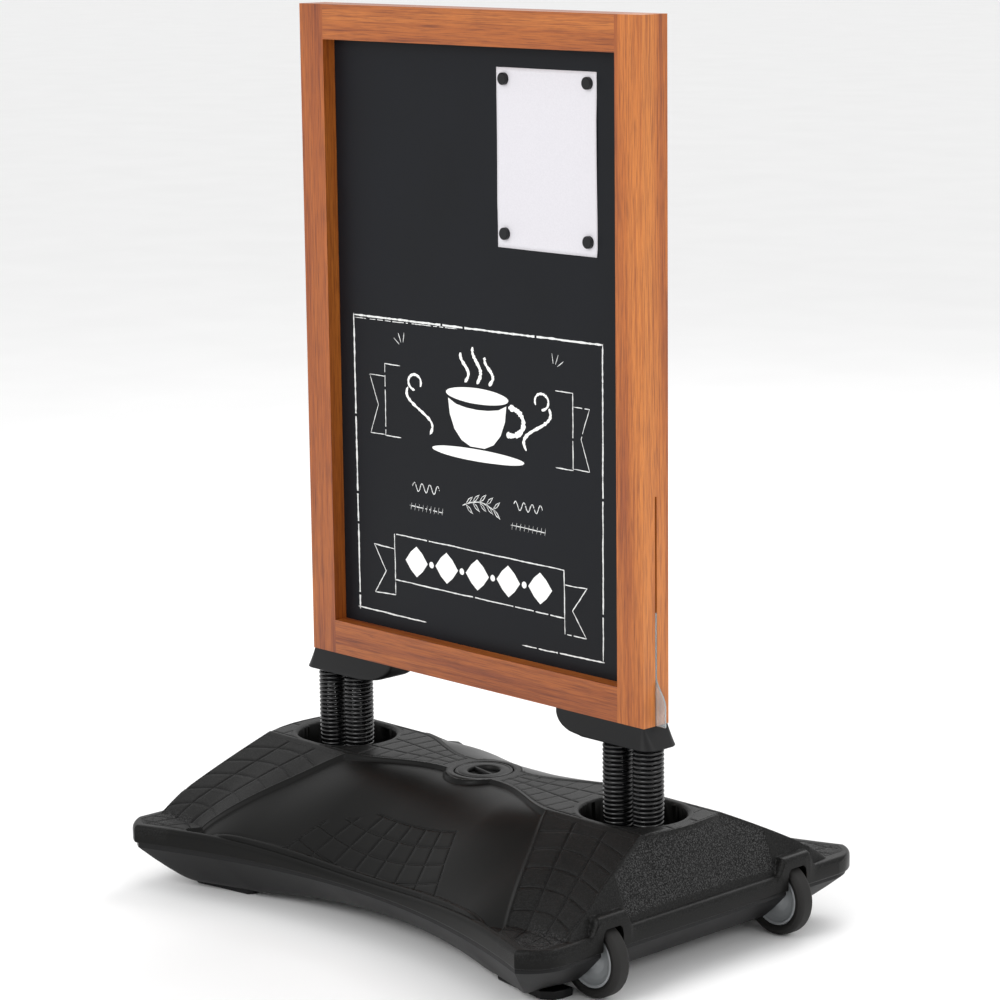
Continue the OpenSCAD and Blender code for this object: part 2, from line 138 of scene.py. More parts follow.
def cut(obj, cutters):
    """Takes the cutters out of obj and removes them."""
    for cutter in cutters:
        modifier = obj.modifiers.new("cut", "BOOLEAN")
        modifier.operation = "DIFFERENCE"
        modifier.solver = "EXACT"
        modifier.object = cutter
    done = bpy.data.meshes.new_from_object(obj.evaluated_get(bpy.context.evaluated_depsgraph_get()))
    obj.modifiers.clear()
    obj.data = done
    for cutter in cutters:
        bpy.data.objects.remove(cutter)


def bevel(obj, width_mm, segments=3, angle=35):
    modifier = obj.modifiers.new("bevel", "BEVEL")
    modifier.width = width_mm * MM
    modifier.segments = segments
    modifier.limit_method = "ANGLE"
    modifier.angle_limit = math.radians(angle)
    modifier.harden_normals = False


def smooth_by_angle(obj, angle=35):
    obj.data.shade_smooth()
    obj.data.set_sharp_from_angle(angle=math.radians(angle))


# ---- Materials ----
def lin(r, g, b):
    """Linear colour from 0 to 255 display values."""
    return tuple((c / 255 / 12.92) if c / 255 <= 0.04045 else ((c / 255 + 0.055) / 1.055) ** 2.4
                 for c in (r, g, b)) + (1.0,)


class Material:
    """A small builder of node materials around one Principled shader."""

    def __init__(self, name, roughness=0.5, **inputs):
        self.material = bpy.data.materials.new(name)
        self.material.use_nodes = True
        self.nodes = self.material.node_tree.nodes
        self.links = self.material.node_tree.links
        self.shader = self.nodes["Principled BSDF"]
        self.shader.inputs["Roughness"].default_value = roughness
        for key, value in inputs.items():
            self.shader.inputs[key.replace("_", " ")].default_value = value
        self.place = self.nodes.new("ShaderNodeTexCoord").outputs["Object"]

    def mapped(self, scale):
        node = self.nodes.new("ShaderNodeMapping")
        node.inputs["Scale"].default_value = scale
        self.links.new(self.place, node.inputs["Vector"])
        return node.outputs["Vector"]

    def noise(self, scale, detail=4, stretch=(1, 1, 1), roughness=0.5, distortion=0.0):
        node = self.nodes.new("ShaderNodeTexNoise")
        node.inputs["Scale"].default_value = scale
        node.inputs["Detail"].default_value = detail
        node.inputs["Roughness"].default_value = roughness
        node.inputs["Distortion"].default_value = distortion
        self.links.new(self.mapped(stretch), node.inputs["Vector"])
        return node.outputs["Fac"]

    def ramp(self, value, stops):
        node = self.nodes.new("ShaderNodeValToRGB")
        ramp = node.color_ramp
        while len(ramp.elements) < len(stops):
            ramp.elements.new(0.5)
        for element, (position, colour) in zip(ramp.elements, stops):
            element.position = position
            element.color = colour if hasattr(colour, "__len__") else (colour, colour, colour, 1)
        self.links.new(value, node.inputs["Fac"])
        return node.outputs["Color"]

    def math(self, operation, a, b):
        node = self.nodes.new("ShaderNodeMath")
        node.operation = operation
        for socket, value in zip(node.inputs, (a, b)):
            if isinstance(value, (int, float)):
                socket.default_value = value
            else:
                self.links.new(value, socket)
        return node.outputs[0]

    def mix(self, factor, a, b, blend="MIX"):
        node = self.nodes.new("ShaderNodeMix")
        node.data_type = "RGBA"
        node.blend_type = blend
        for socket, value in ((node.inputs[0], factor), (node.inputs[6], a), (node.inputs[7], b)):
            if isinstance(value, (int, float, tuple)):
                socket.default_value = value
            else:
                self.links.new(value, socket)
        return node.outputs[2]

    def attribute(self, name):
        node = self.nodes.new("ShaderNodeAttribute")
        node.attribute_name = name
        return node.outputs["Fac"]

    def colour(self, source):
        self.links.new(source, self.shader.inputs["Base Color"])
        return self

    def rough(self, source):
        self.links.new(source, self.shader.inputs["Roughness"])
        return self

    def bump(self, source, distance_mm, strength=1.0):
        node = self.nodes.new("ShaderNodeBump")
        node.inputs["Strength"].default_value = strength
        node.inputs["Distance"].default_value = distance_mm * MM
        self.links.new(source, node.inputs["Height"])
        last = self.shader.inputs["Normal"]
        if last.is_linked:
            self.links.new(last.links[0].from_socket, node.inputs["Normal"])
        self.links.new(node.outputs["Normal"], last)
        return self


def put(material, *objects):
    for obj in objects:
        if isinstance(obj, str):
            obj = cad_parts[obj]
        obj.data.materials.clear()
        obj.data.materials.append(material.material)


def timber(name, along, tint=1.0):
    """Oiled softwood with its grain along an axis."""
    material = Material(name, 0.42, Coat_Weight=0.12, Coat_Roughness=0.3)
    stretch = [1.0, 1.0, 1.0]
    stretch["XYZ".index(along)] = 0.045
    fine_stretch = [1.0, 1.0, 1.0]
    fine_stretch["XYZ".index(along)] = 0.02
    bands = material.noise(26, 5, stretch, 0.55, 0.6)
    base = material.ramp(bands, [(0.30, lin(140 * tint, 66 * tint, 20 * tint)),
                                 (0.46, lin(178 * tint, 98 * tint, 32 * tint)),
                                 (0.66, lin(200 * tint, 120 * tint, 48 * tint))])
    streaks = material.noise(260, 4, fine_stretch, 0.6)
    pores = material.ramp(streaks, [(0.36, lin(176, 140, 110)), (0.52, lin(255, 255, 255))])
    fibre_stretch = [1.0, 1.0, 1.0]
    fibre_stretch["XYZ".index(along)] = 0.03
    fibres = material.ramp(material.noise(720, 3, fibre_stretch, 0.65),
                           [(0.36, lin(128, 88, 62)), (0.54, lin(255, 252, 250))])
    wide = material.noise(5, 2, stretch)
    cloud = material.ramp(wide, [(0.3, lin(220, 204, 190)), (0.7, lin(255, 255, 255))])
    grained = material.mix(0.5, material.mix(0.55, base, pores, "MULTIPLY"), fibres, "MULTIPLY")
    material.colour(material.mix(1.0, grained, cloud, "MULTIPLY"))
    material.rough(material.ramp(streaks, [(0.3, 0.52), (0.7, 0.38)]))
    return material.bump(streaks, 0.35, 0.5).bump(bands, 0.5, 0.3)


def moulded(name, colour, roughness, grain_mm=0.12, scale=900, **inputs):
    """Textured moulded plastic or powder-coated metal."""
    material = Material(name, roughness, **inputs)
    grain = material.noise(scale, 3)
    cloud = material.noise(9, 4)
    low, high = [lin(*(c * k for c in colour)) for k in (0.86, 1.14)]
    material.colour(material.ramp(cloud, [(0.3, low), (0.7, high)]))
    material.rough(material.ramp(cloud, [(0.3, roughness - 0.05), (0.7, roughness + 0.07)]))
    return material.bump(grain, grain_mm, 0.6)


def metal(name, colour, roughness):
    material = Material(name, roughness, Metallic=1.0)
    brushed = material.noise(700, 3, (1, 1, 0.05))
    material.colour(material.ramp(brushed, [(0.3, lin(*(c * 0.85 for c in colour))), (0.7, lin(*colour))]))
    return material.rough(material.ramp(brushed, [(0.3, roughness - 0.08), (0.7, roughness + 0.1)]))


wood_upright = timber("wood_upright", "Z")
wood_across = timber("wood_across", "X", 0.98)
dowel_wood = timber("dowel_wood", "X", 1.1)

board_black = Material("board_black", 0.5, Specular_IOR_Level=0.16)
smears = board_black.noise(7, 5, (1, 1, 0.6), 0.6)
board_black.colour(board_black.ramp(smears, [(0.3, lin(14, 16, 20)), (0.7, lin(19, 21, 26))]))
board_black.rough(board_black.ramp(smears, [(0.3, 0.42), (0.7, 0.55)]))
board_black.bump(board_black.noise(1400, 2), 0.04, 0.4)
core_grey = moulded("core_grey", (140, 140, 136), 0.6)

chalk = Material("chalk", 0.9)
dust = chalk.noise(620, 6, (1, 1, 1), 0.7)
faint = chalk.noise(14, 3)
strokes = chalk.math("ADD", dust, chalk.math("MULTIPLY", faint, 0.25))
chalk.colour(chalk.ramp(strokes, [(0.42, lin(66, 68, 70)), (0.56, lin(228, 229, 228))]))
chalk.bump(dust, 0.05, 0.5)
chalk_white = Material("chalk_white", 0.85)
dust_white = chalk_white.noise(520, 6, (1, 1, 1), 0.7)
chalk_white.colour(chalk_white.ramp(dust_white, [(0.28, lin(190, 192, 192)), (0.42, lin(248, 248, 246))]))
chalk_white.bump(dust_white, 0.05, 0.5)

paper = Material("paper", 0.75)
fibres = paper.noise(480, 5, (1, 1, 1), 0.65)
paper.colour(paper.ramp(fibres, [(0.2, lin(203, 201, 206)), (0.8, lin(214, 212, 217))]))
paper.bump(fibres, 0.03, 0.4)

magnet_black = moulded("magnet_black", (14, 14, 17), 0.36, 0.04, Specular_IOR_Level=0.3)
bracket_black = moulded("bracket_black", (14, 14, 15), 0.42, 0.15, 1100, Specular_IOR_Level=0.25)
spring_black = moulded("spring_black", (10, 10, 11), 0.24, 0.03, 1500, Specular_IOR_Level=0.5)
zinc = metal("zinc", (176, 178, 182), 0.36)
screw_steel = metal("screw_steel", (190, 190, 194), 0.3)
rubber_black = moulded("rubber_black", (20, 20, 20), 0.7)
spacer_pale = moulded("spacer_pale", (190, 190, 186), 0.5)
pan_black = moulded("pan_black", (15, 15, 16), 0.46, 0.12, 700, Specular_IOR_Level=0.2)
cap_black = moulded("cap_black", (10, 10, 10), 0.45, 0.12, 900, Specular_IOR_Level=0.2)
hub_grey = moulded("hub_grey", (138, 141, 143), 0.34, 0.05, 500)
tyre_black = moulded("tyre_black", (24, 23, 22), 0.62, 0.1, 800, Specular_IOR_Level=0.3)

clear = Material("clear", 0.12, IOR=1.46, Transmission_Weight=0.75)
haze = clear.noise(30, 3)
clear.colour(clear.ramp(haze, [(0.3, lin(214, 224, 228)), (0.7, lin(238, 244, 246))]))
clear.rough(clear.ramp(haze, [(0.3, 0.08), (0.7, 0.2)]))

# The cover: satin scoops, lightly grained legs and coarse end panels, by the mesh's own "grain" value
cover_black = Material("cover_black", 0.42, Specular_IOR_Level=0.15)
grain_share = cover_black.attribute("grain")
cloud = cover_black.noise(7, 4)
speckle = cover_black.noise(520, 3, (1, 1, 1), 0.7)
plain = cover_black.ramp(cloud, [(0.3, lin(5, 5, 4)), (0.7, lin(8, 8, 7))])
coarse = cover_black.ramp(speckle, [(0.47, lin(2, 2, 2)), (0.60, lin(62, 62, 62))])
grained = cover_black.mix(grain_share, plain, coarse)


def groove_share(count_name):
    """1 where the mesh's running count is close to a whole number, which is a groove between tiles."""
    ahead = cover_black.math("FRACT", cover_black.math("ADD", cover_black.attribute(count_name), 0.5), 0)
    away = cover_black.math("ABSOLUTE", cover_black.math("SUBTRACT", ahead, 0.5), 0)
    return cover_black.ramp(away, [(0.022, 1.0), (0.05, 0.0)])


grooves = cover_black.math(
    "MULTIPLY", cover_black.math("MAXIMUM", groove_share("tile_u"), groove_share("tile_v")),
    cover_black.attribute("tiled"))
# Painted shade: the grooves between tiles are darkened towards near black in the colour, standing in for the
# shade that falls in them; their depth and bump are real.
cover_black.colour(cover_black.mix(cover_black.math("MULTIPLY", grooves, 0.55), grained, lin(4, 4, 4)))
cover_black.rough(cover_black.mix(grain_share, cover_black.ramp(cloud, [(0.3, 0.33), (0.7, 0.41)]),
                                  cover_black.ramp(speckle, [(0.3, 0.62), (0.7, 0.5)])))
grit = cover_black.math(
    "MULTIPLY", speckle, cover_black.math("ADD", cover_black.math("MULTIPLY", grain_share, 5.0), 0.35))
cover_black.bump(grit, 0.25, 0.7)
cover_black.bump(cover_black.math("SUBTRACT", 1.0, grooves), 1.1, 0.8)


# ---- Carried-over CAD nodes ----
for name in ("stile_left", "stile_right", "rail_top", "rail_bottom"):
    bevel(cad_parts[name], 1.3, 3)
put(wood_upright, "stile_left", "stile_right")
put(wood_across, "rail_top", "rail_bottom")
put(dowel_wood, "corner_dowels")
put(board_black, "front_board", "back_board")
put(core_grey, "panel_core")
put(clear, "locking_strip")
put(magnet_black, "magnet_top_left", "magnet_top_right", "magnet_bottom_left", "magnet_bottom_right")
put(zinc, "spring_plate_left", "spring_plate_right", "anchor_left", "anchor_right")
put(screw_steel, "bracket_screws", "anchor_bolts", "wheel_pins")
put(rubber_black, "cap_gasket")
put(spacer_pale, "pin_spacers")
for name in ("magnet_top_left", "magnet_top_right", "magnet_bottom_left", "magnet_bottom_right"):
    bevel(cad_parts[name], 0.7, 2)
bevel(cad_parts["locking_strip"], 0.3, 2)

# ---- Base outline and top surface, in the base's own millimetres ----
corner_r = 58.0
waist_y = 240.0
waist_k = 1950.0
corner_x = half_l - corner_r
turn = corner_x
for _ in range(6):
    turn = corner_x + corner_r * math.sin(math.atan(2 * turn / waist_k))
corner_y = waist_y + turn * turn / waist_k - corner_r * math.cos(math.atan(2 * turn / waist_k))
lip_top = 95.0
lip_round = 8.0
lip_dip = 13.0                                           # the lip is lower at the waist
boss_r = 51.0
hood_rise = 22.0
hood_top = 25.0                                          # half width of a wheel hood's top, and of its foot
hood_foot = 36.0


def smooth(t):
    t = np.clip(t, 0, 1)
    return t * t * (3 - 2 * t)


def side_y(a):
    arc = corner_y + np.sqrt(np.maximum(0, corner_r ** 2 - (a - corner_x) ** 2))
    return np.where(a < turn, waist_y + a * a / waist_k, arc)


def flat_half(a):
    hump = 26 + (76 - 26) * smooth((a - 60) / 155)
    return np.maximum(hump, np.sqrt(np.maximum(0, boss_r ** 2 - a * a)))


def fall_half(a):
    """Half width of the level top that the slopes fall from: as flat_half, without the filler's ring."""
    return 34 + (76 - 34) * smooth((a - 30) / 185)


def leg_line(b):
    """Where the smooth scoop meets the tiled leg."""
    return 200 + (b - 72) * 140 / 233


def crest_x(b):
    """Where the end panel starts to fall away."""
    return np.minimum(np.where(b < 76, 388 - 13 * (b / 76) ** 2, 375 + (b - 76) * 0.25), 410)


def line(distance, width):
    """1 on a groove's middle, falling to 0 at its sides."""
    return np.exp(-(distance / width) ** 2)


def nearest(value, pitch):
    """Distance to the nearest multiple of pitch."""
    return np.abs(value - pitch * np.round(value / pitch))


pair_x = 289.5
socket_l, socket_w = 150.0, 130.0


def socket_distance(a, b):
    """Distance outside the oblong socket's edge."""
    run = (socket_l - socket_w) / 2
    return np.hypot(np.maximum(np.abs(a - pair_x) - run, 0), b) - socket_w / 2


def cover_height(x, y):
    """Height and share of coarse grain at a point of the cover."""
    a, b = np.abs(x), np.abs(y)
    flat, side, edge_half = flat_half(a), side_y(a), fall_half(a)
    foot = (side - 4) + (250 - (side - 4)) * smooth((a - 230) / 110)
    down = np.clip((b - edge_half) / (foot - edge_half), 0, 1)
    fall_y = (1 - down ** 1.7) + ((1 - down) ** 0.85 - (1 - down ** 1.7)) * smooth((a - 120) / 130)
    start = crest_x(b)
    t = np.clip((a - start) / (416 - start), 0, 1)
    lip = lip_top - lip_dip * (1 - smooth(a / 300))
    z = lip + (ridge_z - lip) * fall_y * (1 - t ** 1.2)
    edge = np.minimum(side - b, half_l - a)
    inner = smooth((edge - 9) / 10)
    scoop = np.minimum(b - flat - 3, (leg_line(b) - a) * 0.857)
    z = z - 5.0 * smooth(scoop / 6) * inner
    z = z + 0.8 * line(scoop, 1.6) * inner * (b > 8)
    # tiles on the legs, the spine and the side patches: two running counts whose whole numbers are grooves
    width = np.maximum(start - leg_line(b), 1)
    across = (a - leg_line(b)) / width
    on_leg = (across > 0.02) & (across < 0.98) & (b > 84) & (edge > 20)
    leg_row = (b + 16 * np.sin(np.clip(across, 0, 1) * math.pi) - 84) / 31
    on_spine = (b < flat - 3) & (a > boss_r + 6) & (a < 386) & (socket_distance(a, b) > 9)
    spine_row = y / np.maximum(flat / 1.6, 15) + 0.5
    half = 101 + (b - 149) * 62 / 104
    patch_column = 3.5 + 3.5 * x / half
    patch_row = (b - 149 + a * a / 2600) / 26
    stepped = np.where(x * y > 0, 3.5 - 3.5 * a / half, 9) + patch_row
    on_patch = (patch_row > -0.04) & (b < side - 14) & (a < half + 1) & (stepped > 1.6)
    tile_u = np.where(on_leg, across * 3, np.where(on_spine, (a - 62) / 27 + 0.12 * b / 27, patch_column))
    tile_v = np.where(on_leg, leg_row, np.where(on_spine, spine_row, patch_row))
    tiled = on_leg | on_spine | on_patch
    pitch_u = np.where(on_leg, width / 3, np.where(on_spine, 27, 2 * half / 7))
    pitch_v = np.where(on_leg, 31, np.where(on_spine, np.maximum(flat / 1.6, 15), 26))
    groove = np.maximum(line(nearest(tile_u, 1) * pitch_u, 2.4), line(nearest(tile_v, 1) * pitch_v, 2.4))
    z = z - 0.9 * groove * tiled
    # end panel, sunk inside a smooth border, with a raised hood over each wheel notch
    hood = np.clip((hood_foot - np.abs(b - wheel_y)) / (hood_foot - hood_top), 0, 1)
    hood = np.minimum(hood * 1.1, 1) * smooth((a - 384) / 8)
    on_hood = smooth(hood / 0.15)
    on_panel = smooth((t - 0.04) / 0.06) * smooth((0.93 - t) / 0.06) * smooth((214 - b) / 6)
    z = z - 2.2 * on_panel * (1 - on_hood)
    z = np.maximum(z, np.where(hood > 0, lip_top + hood_rise * hood, 0))
    corner_grain = smooth((across - 0.35) / 0.1) * smooth((b - 236) / 20) * smooth((edge - 14) / 4)
    grain = np.clip(on_panel * (1 - on_hood) + corner_grain, 0, 1)
    leg_grain = 0.22 * smooth(-scoop / 4) * (1 - grain)
    # socket rims, the ring round the filler and the rounded lip
    rim = socket_distance(a, b)
    radius = 5.0
    d = np.clip(rim, 0, radius)
    z = z - np.where(rim < radius, radius - np.sqrt(radius ** 2 - (radius - d) ** 2), 0)
    from_cap = np.hypot(x, y)
    z = z + (ridge_z - z) * smooth((boss_r + 1.5 - from_cap) / 3)
    d = np.clip(from_cap - 42.2, 0, 2)
    z = z - np.where(from_cap < 44.2, 2 - np.sqrt(4 - (2 - d) ** 2), 0)
    roof = np.where(edge >= lip_round, 1e3,
                    lip - lip_round + np.sqrt(np.maximum(
                        0, lip_round ** 2 - (lip_round - np.minimum(edge, lip_round)) ** 2)))
    z = np.minimum(z, roof + hood_rise * hood)
    z = z - 1.0 * line(edge - 17, 1.6) * (a < start) * (b > 150)
    return z, {"grain": np.clip(grain + leg_grain, 0, 1), "tile_u": tile_u, "tile_v": tile_v,
               "tiled": tiled * 1.0}


def graded(reach, step, fine_band, fine_step):
    """Positions from -reach to reach, closer together near both ends."""
    inner = np.arange(0, reach - fine_band, step)
    outer = np.arange(reach - fine_band, reach + fine_step / 2, fine_step)
    outer[-1] = reach
    half = np.concatenate([inner, outer])
    return np.concatenate([-half[:0:-1], half])


GRID = 1.7
columns = graded(half_l, GRID, 50, GRID * 0.55)
share = graded(1.0, GRID / 285, 0.05, GRID / 285 * 0.5)
grid_x, grid_t = np.meshgrid(columns, share, indexing="ij")
grid_y = grid_t * side_y(np.abs(grid_x))
grid_z, grid_layers = cover_height(grid_x, grid_y)
nc, nr = grid_x.shape
index = np.arange(nc * nr).reshape(nc, nr)
rim = np.concatenate([index[:, 0], index[-1, 1:], index[-2::-1, -1], index[0, -2:0:-1]])
top_points = np.stack([grid_x, grid_y, grid_z], -1).reshape(-1, 3)
rim_points = top_points[rim]
levels = [(1.0, seam_z + 2.5), (0.9985, seam_z + 0.8), (0.9955, seam_z)]
skirts = [np.column_stack([rim_points[:, 0] * k, rim_points[:, 1] * k, np.full(len(rim), z)])
          for k, z in levels]
verts = np.vstack([top_points] + skirts)
quads = np.stack([index[:-1, :-1], index[1:, :-1], index[1:, 1:], index[:-1, 1:]], -1).reshape(-1, 4)
faces = [tuple(q) for q in quads.tolist()]
count, first = len(rim), nc * nr
rim_list = rim.tolist()
faces += [(rim_list[(k + 1) % count], rim_list[k], first + k, first + (k + 1) % count) for k in range(count)]
for level in range(len(levels) - 1):
    faces += [(a, d, c, b)
              for a, b, c, d in ring_faces(first + level * count, first + (level + 1) * count, count)]
last = first + (len(levels) - 1) * count
right, left = nc - 1, 2 * (nc - 1) + nr - 1
across_at = lambda i: last + left - i                                       # rim point opposite column i
faces += [(last + i, across_at(i), across_at(i + 1), last + i + 1) for i in range(1, nc - 2)]
faces += [(last + nc - 2, last + k + 1, last + k) for k in range(right, right + nr)]
faces += ([(last + 1, last + (k + 1) % count, last + k) for k in range(left, count)]
          + [(last + 1, across_at(0), across_at(1))])
verts[:, 0] += centre_x
cover = make("cover_shell", verts, faces, "base", "base", replaces=["base_cover"])
for name, values in grid_layers.items():
    layer = cover.data.attributes.new(name, "FLOAT", "POINT")
    layer.data.foreach_set(
        "value", np.concatenate([values.ravel(), np.zeros(len(verts) - nc * nr)]).astype(np.float32))


def oblong_prism(name, cx, length, width, z0, z1, points=64):
    """A vertical oblong prism for cutting."""
    run = (length - width) / 2
    angles = np.linspace(0, 2 * math.pi, points, endpoint=False) + 1e-3
    ring = [(cx + math.copysign(run, math.cos(t)) + width / 2 * math.cos(t), width / 2 * math.sin(t))
            for t in angles]
    rings = [np.array([(x, y, z) for x, y in ring]) for z in (z0, z1)]
    obj = make(name, *loft(rings), None, None)
    fix_normals(obj)
    return obj


def notch_prism(name, sy, grow=0.0):
    """The wheel notch: upright sides under a roof that falls towards the end."""
    half = 18.5 + grow
    rings = []
    for x in (332.0 - grow, half_l + 40):
        roof = 108 - 0.24 * (x - 392) + grow
        section = [(half, -20), (half, roof - 12), (half - 2, roof - 4), (half - 6, roof),
                   (6 - half, roof), (2 - half, roof - 4), (-half, roof - 12), (-half, -20)]
        rings.append(np.array([(centre_x + x, sy * wheel_y + y, z) for y, z in section]))
    obj = make(name, *loft(rings), None, None)
    fix_normals(obj)
    return obj


socket_floor = 122.0
cutters = [oblong_prism("cut_socket", centre_x + s * pair_x, socket_l, socket_w, socket_floor, ridge_z + 20)
           for s in (-1, 1)]
cutters.append(oblong_prism("cut_cap", centre_x, 84.4, 84.4, ridge_z - 7, ridge_z + 20, 96))
cutters += [notch_prism("cut_notch", s) for s in (-1, 1)]
cut(cover, cutters)
smooth_by_angle(cover, 40)
put(cover_black, cover)

# ---- The pan under the seam: a lofted skirt, arched floor, foot pads and wheel notches ----
long_side = [(x, float(side_y(np.array(x)))) for x in np.linspace(0, turn, 60)]
arc_from = math.atan(2 * turn / waist_k)
corner = [(corner_x + corner_r * math.sin(t), corner_y + corner_r * math.cos(t))
          for t in np.linspace(arc_from, math.pi / 2, 22)[1:]]
end_side = [(half_l, y) for y in np.linspace(corner_y, 0, 18)[1:]]
quarter = long_side + corner + end_side
outline = (quarter + [(x, -y) for x, y in quarter[-2::-1]] + [(-x, -y) for x, y in quarter[1:]]
           + [(-x, y) for x, y in quarter[-2:0:-1]])
outline = np.array(outline)


def floor_height(a):
    return 8 + 14 * np.where(a < 230, 1 - (a / 230) ** 2, smooth((a - 330) / 40))


def pan_ring(kx, ky, lift, share_down):
    """A ring between the seam (share 0) and the floor (share 1)."""
    x, y = outline[:, 0] * kx, outline[:, 1] * ky
    low = floor_height(np.abs(outline[:, 0]) * 0.872)
    z = seam_z + (low - seam_z) * share_down + lift
    return np.column_stack([x + centre_x, y, z])


pan_levels = [(0.990, 0.987, 0, 0.0), (0.990, 0.987, 0, 0.12), (0.984, 0.976, 0, 0.18),
              (0.958, 0.930, 0, 0.42),
              (0.930, 0.880, 0, 0.66), (0.904, 0.834, 0, 0.86), (0.892, 0.812, 0, 0.94),
              (0.880, 0.792, 0, 0.985),
              (0.868, 0.775, 0, 1.0)]
verts, faces = loft([pan_ring(*level) for level in pan_levels], cap_first=True, cap_last=False)
count = len(outline)
floor_first = len(verts) - count
top_run = len(quarter) * 2 - 1                           # the +X half of the outline, from +Y round to -Y
strips = []
for k in range(top_run // 2):
    a, b = k, k + 1
    c, d = top_run - 1 - k, top_run - 2 - k
    strips.append((floor_first + a, floor_first + b, floor_first + d, floor_first + c))
    a2, b2 = (count - k) % count, (count - k - 1) % count
    c2, d2 = top_run - 1 + k, top_run + k
    strips.append((floor_first + a2, floor_first + c2, floor_first + d2, floor_first + b2))
faces += strips
pan = make("pan_shell", verts, faces, "base", "base", replaces=["base_pan"])
fix_normals(pan)
cut(pan, [notch_prism("cut_notch_pan", s) for s in (-1, 1)])
smooth_by_angle(pan, 30)
put(pan_black, pan)


def foot(name, sx, sy):
    """A moulded foot pad with chamfered lower edges."""
    plan = [(250, 196), (250, 214), (256, 221), (310, 229), (352, 236), (366, 226), (370, 212), (370, 196)]
    middle = np.mean(plan, axis=0)
    rings = []
    for grow, z in ((1.0, 12), (1.0, 2.5), (0.985, 0.8), (0.95, 0.0)):
        rings.append(np.array([(centre_x + sx * (middle[0] + (x - middle[0]) * grow),
                                sy * (middle[1] + (y - middle[1]) * grow), z)
                               for x, y in plan]))
    obj = make(name, *loft(rings), "base", "base", smooth=False)
    fix_normals(obj)
    bevel(obj, 1.5, 2)
    put(pan_black, obj)


for sx, end in ((-1, "left"), (1, "right")):
    for sy, face in ((-1, "front"), (1, "back")):
        foot(f"foot_{end}_{face}", sx, sy)

# ---- Springs: one wound wire each, between the base and the sign ----
for name in ("spring_left_outer", "spring_left_inner", "spring_right_inner", "spring_right_outer"):
    low, high = node_box(name)
    wire_r = 2.9
    coil_r = (high[0] - low[0]) / 2 - wire_r
    cx, cy = (low[0] + high[0]) / 2, (low[1] + high[1]) / 2
    turns_n, per_turn, around = 25, 30, 10
    z0, z1 = low[2] + wire_r, high[2] - wire_r
    total = turns_n * per_turn
    rings = []
    for k in range(total + 1):
        t = 2 * math.pi * k / per_turn
        p = np.array([cx + coil_r * math.cos(t), cy + coil_r * math.sin(t), z0 + (z1 - z0) * k / total])
        outward = np.array([math.cos(t), math.sin(t), 0])
        rings.append([p + wire_r * (math.cos(s) * outward + math.sin(s) * np.array([0, 0, 1.0]))
                      for s in np.linspace(0, 2 * math.pi, around, endpoint=False)])
    spring = make(name + "_wire", *loft([np.array(r) for r in rings]), None, None)
    fix_normals(spring)
    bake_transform(spring)
    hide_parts(name)
    put(spring_black, spring)


# ---- Brackets: lofted shells that flare down and out, with rounded corners ----
def rounded_box(x0, x1, half_y, r_in, r_out, z, steps=8):
    ring = []
    for cx, cy, r, a0 in ((x1, half_y, r_out, 0), (x0, half_y, r_in, 90),
                          (x0, -half_y, r_in, 180), (x1, -half_y, r_out, 270)):
        ox, oy = (cx - r if cx == x1 else cx + r), (cy - r if cy > 0 else cy + r)
        for k in range(steps + 1):
            t = math.radians(a0 + 90 * k / steps)
            ring.append((ox + r * math.cos(t), oy + r * math.sin(t), z))
    return np.array(ring)


def bracket(name, sx):
    low, high = node_box(name)
    outer_top, outer_low = 332.0, 348.0
    inner_top = 166.0
    rings = []
    steps = 12
    for k in range(steps + 1):
        s = k / steps
        z = high[2] - (high[2] - low[2] - 1.2) * s
        inner = inner_top + 46 * (1 - math.sqrt(max(0, 1 - s ** 2.2)))
        rings.append(rounded_box(inner, outer_top + (outer_low - outer_top) * s ** 1.2 - 0.3,
                                 23.4 + 8.4 * s ** 0.9, 4 + 9 * s, 3 + 17 * s, z))
    for inset, z in ((1.0, low[2] + 0.3), (2.4, low[2]), (3.6, low[2] + 0.6), (4.0, low[2] + 3.0)):
        rings.append(rounded_box(inner + inset, outer_low - 0.3 - inset, 31.8 - inset, 12, 18, z))
    verts, faces = loft(rings, cap_first=True, cap_last=False)
    verts[:, 0] = centre_x + sx * verts[:, 0]
    obj = make(name + "_shell", verts, faces, "sign", "bracket", replaces=[name])
    fix_normals(obj)
    smooth_by_angle(obj, 50)
    put(bracket_black, obj)


bracket("bracket_left", -1)
bracket("bracket_right", 1)

# ---- Wheels: dished grey hub with a bright rim, rounded tyre ----
def rounded_profile(points, radius=1.0):
    """Points of a closed profile with each corner cut twice."""
    for _ in range(2):
        result = []
        for k, (a, b) in enumerate(points):
            c, d = points[(k + 1) % len(points)]
            length = math.hypot(c - a, d - b)
            share_cut = min(0.3, radius / max(length, 1e-6))
            result += [(a + (c - a) * share_cut, b + (d - b) * share_cut),
                       (c - (c - a) * share_cut, d - (d - b) * share_cut)]
        points = result
    return points


